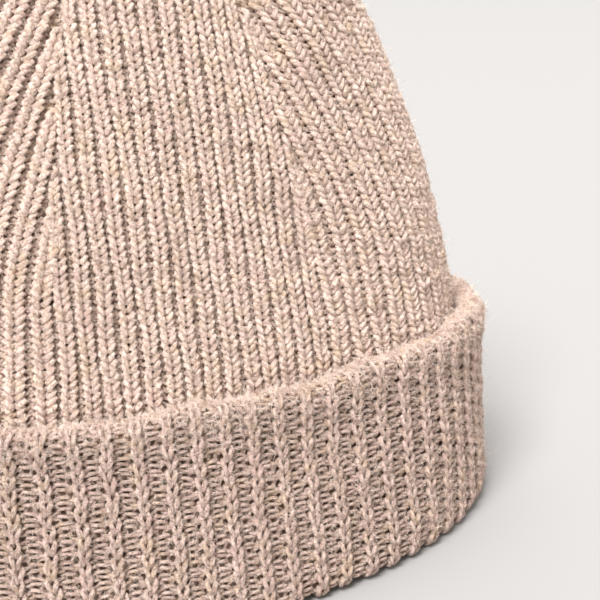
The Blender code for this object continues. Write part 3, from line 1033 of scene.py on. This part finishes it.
# %% Label
def satin_material():
    material, tree, shader = make_material("label_satin")
    place = place_on_hat(tree)
    wave = tree.nodes.new("ShaderNodeTexWave")
    wave.bands_direction = "Z"
    fill(tree, wave, {"Vector": place, "Scale": 900.0, "Distortion": 0.6})
    noise = noise_node(tree, place, 260.0, 2.0, 0.5)
    fill(tree, shader, {
        "Base Color": mix_colour(tree, noise, (0.70, 0.68, 0.64, 1), (0.84, 0.82, 0.78, 1)),
        "Normal": bump_node(tree, wave.outputs["Fac"], 0.25, 0.00005),
        "Roughness": 0.38, "Sheen Weight": 0.25})
    return material


def make_label():
    """A closed ribbon tab with a swollen fold at its lower end and thick edges."""
    wide, tall = 25, 31
    grid_x, grid_z = np.meshgrid(np.linspace(label_low.x, label_high.x, wide),
                                 np.linspace(label_high.z, label_low.z, tall))
    middle = (label_low.y + label_high.y) / 2
    down = (label_high.z - grid_z) / (label_high.z - label_low.z)
    edge = np.abs(grid_x) / label_high.x
    thick = 0.00020 + 0.00009 * smooth_step((edge - 0.90) / 0.08) + 0.00008 * smooth_step((down - 0.9) / 0.08)
    wave = 0.00022 * np.sin(grid_x * 420 + 0.5) * down - 0.00030 * down ** 2
    verts = np.concatenate([np.stack([grid_x, middle + wave + side, grid_z], axis=-1).reshape(-1, 3)
                            for side in (-thick, thick)])
    cell = (np.arange(tall - 1)[:, None] * wide + np.arange(wide - 1)).ravel()
    faces = [(c, c + wide, c + wide + 1, c + 1) for c in cell]
    far = wide * tall
    faces += [(c + far, c + far + 1, c + far + wide + 1, c + far + wide) for c in cell]
    rim = list(range(wide)) + [wide * (r + 1) - 1 for r in range(1, tall)]
    rim += list(range(far - 2, far - wide - 1, -1)) + [wide * r for r in range(tall - 2, 0, -1)]
    for here, after in zip(rim, rim[1:] + rim[:1]):
        faces.append((here, after, after + far, here + far))
    mesh = bpy.data.meshes.new("label_ribbon")
    mesh.from_pydata(verts.tolist(), [], faces)
    mesh.shade_smooth()
    mesh.materials.append(satin_material())
    ribbon = add_object("label_ribbon", mesh)
    dress(ribbon, "label", "care_label", "label_satin")


def make_label_stitches():
    low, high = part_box("care_label_stitches")
    turns = np.linspace(0, 7, 170)
    sweep = 2 * np.abs(turns % 1 - 0.5)
    x = low.x + 0.0003 + (high.x - low.x - 0.0006) * turns / 7
    z = low.z + 0.0003 + (high.z - low.z - 0.0006) * sweep
    path = np.stack([x, np.full(170, (low.y + high.y) / 2), z], axis=-1)
    normals = np.tile([0.0, -1.0, 0.0], (170, 1))
    thread = wool_material("label_thread", (0.80, 0.74, 0.66), (0.70, 0.64, 0.56), (0.60, 0.54, 0.47), sheen=0.1)
    piece = piece_from_strands("label_zigzag", plied(path, normals, 0.00013, 0.0012), thread, rows_each=3)
    dress(piece, "crown", "care_label_stitches", "label_thread")


make_label()
make_label_stitches()
print("label made")

# %% [markdown]
# ## Floor and light
#
# A pale floor and soft lights, as in a product studio. The key light is high and to the left, so
# the rolled rim catches it and the cuff's face falls a little darker. It is a wide sun, because a
# nearby softbox would light the floor unevenly.

# %% Studio
def make_floor():
    mesh = bpy.data.meshes.new("studio_floor")
    reach = 6.0
    corners = [(-reach, -reach, 0), (reach, -reach, 0), (reach, reach, 0), (-reach, reach, 0)]
    mesh.from_pydata(corners, [], [(0, 1, 2, 3)])
    material, tree, shader = make_material("studio_floor")
    fill(tree, shader, {"Base Color": (0.388, 0.383, 0.379, 1), "Roughness": 0.9, "Specular IOR Level": 0.1})
    mesh.materials.append(material)
    add_object("studio_floor", mesh)


def make_light(name, kind, place, aim, size, power):
    """A soft light from a place: a disk of a size in metres, or an even sun of a size in radians."""
    data = bpy.data.lights.new(name, kind)
    if kind == "AREA":
        data.shape = "DISK"
        data.size = size
    else:
        data.angle = size
    data.energy = power
    light = add_object(name, data)
    light.location = place
    light.rotation_mode = "QUATERNION"
    light.rotation_quaternion = (Vector(aim) - Vector(place)).to_track_quat("-Z", "Y")


def make_world():
    world = bpy.data.worlds.new("studio_world")
    world.use_nodes = True
    fill(world.node_tree, world.node_tree.nodes["Background"],
         {"Color": (1.0, 0.95, 0.905, 1), "Strength": 0.78})
    bpy.context.scene.world = world


make_floor()
make_world()
make_light("key_light", "SUN", (-0.58, -0.66, 1.30), (0, 0, 0.08), 0.45, 4.3)
make_light("top_softbox", "AREA", (0.15, 0.35, 1.9), (0, 0, 0.1), 1.6, 16.0)
bpy.context.scene.view_settings.view_transform = "Standard"
print("studio ready")
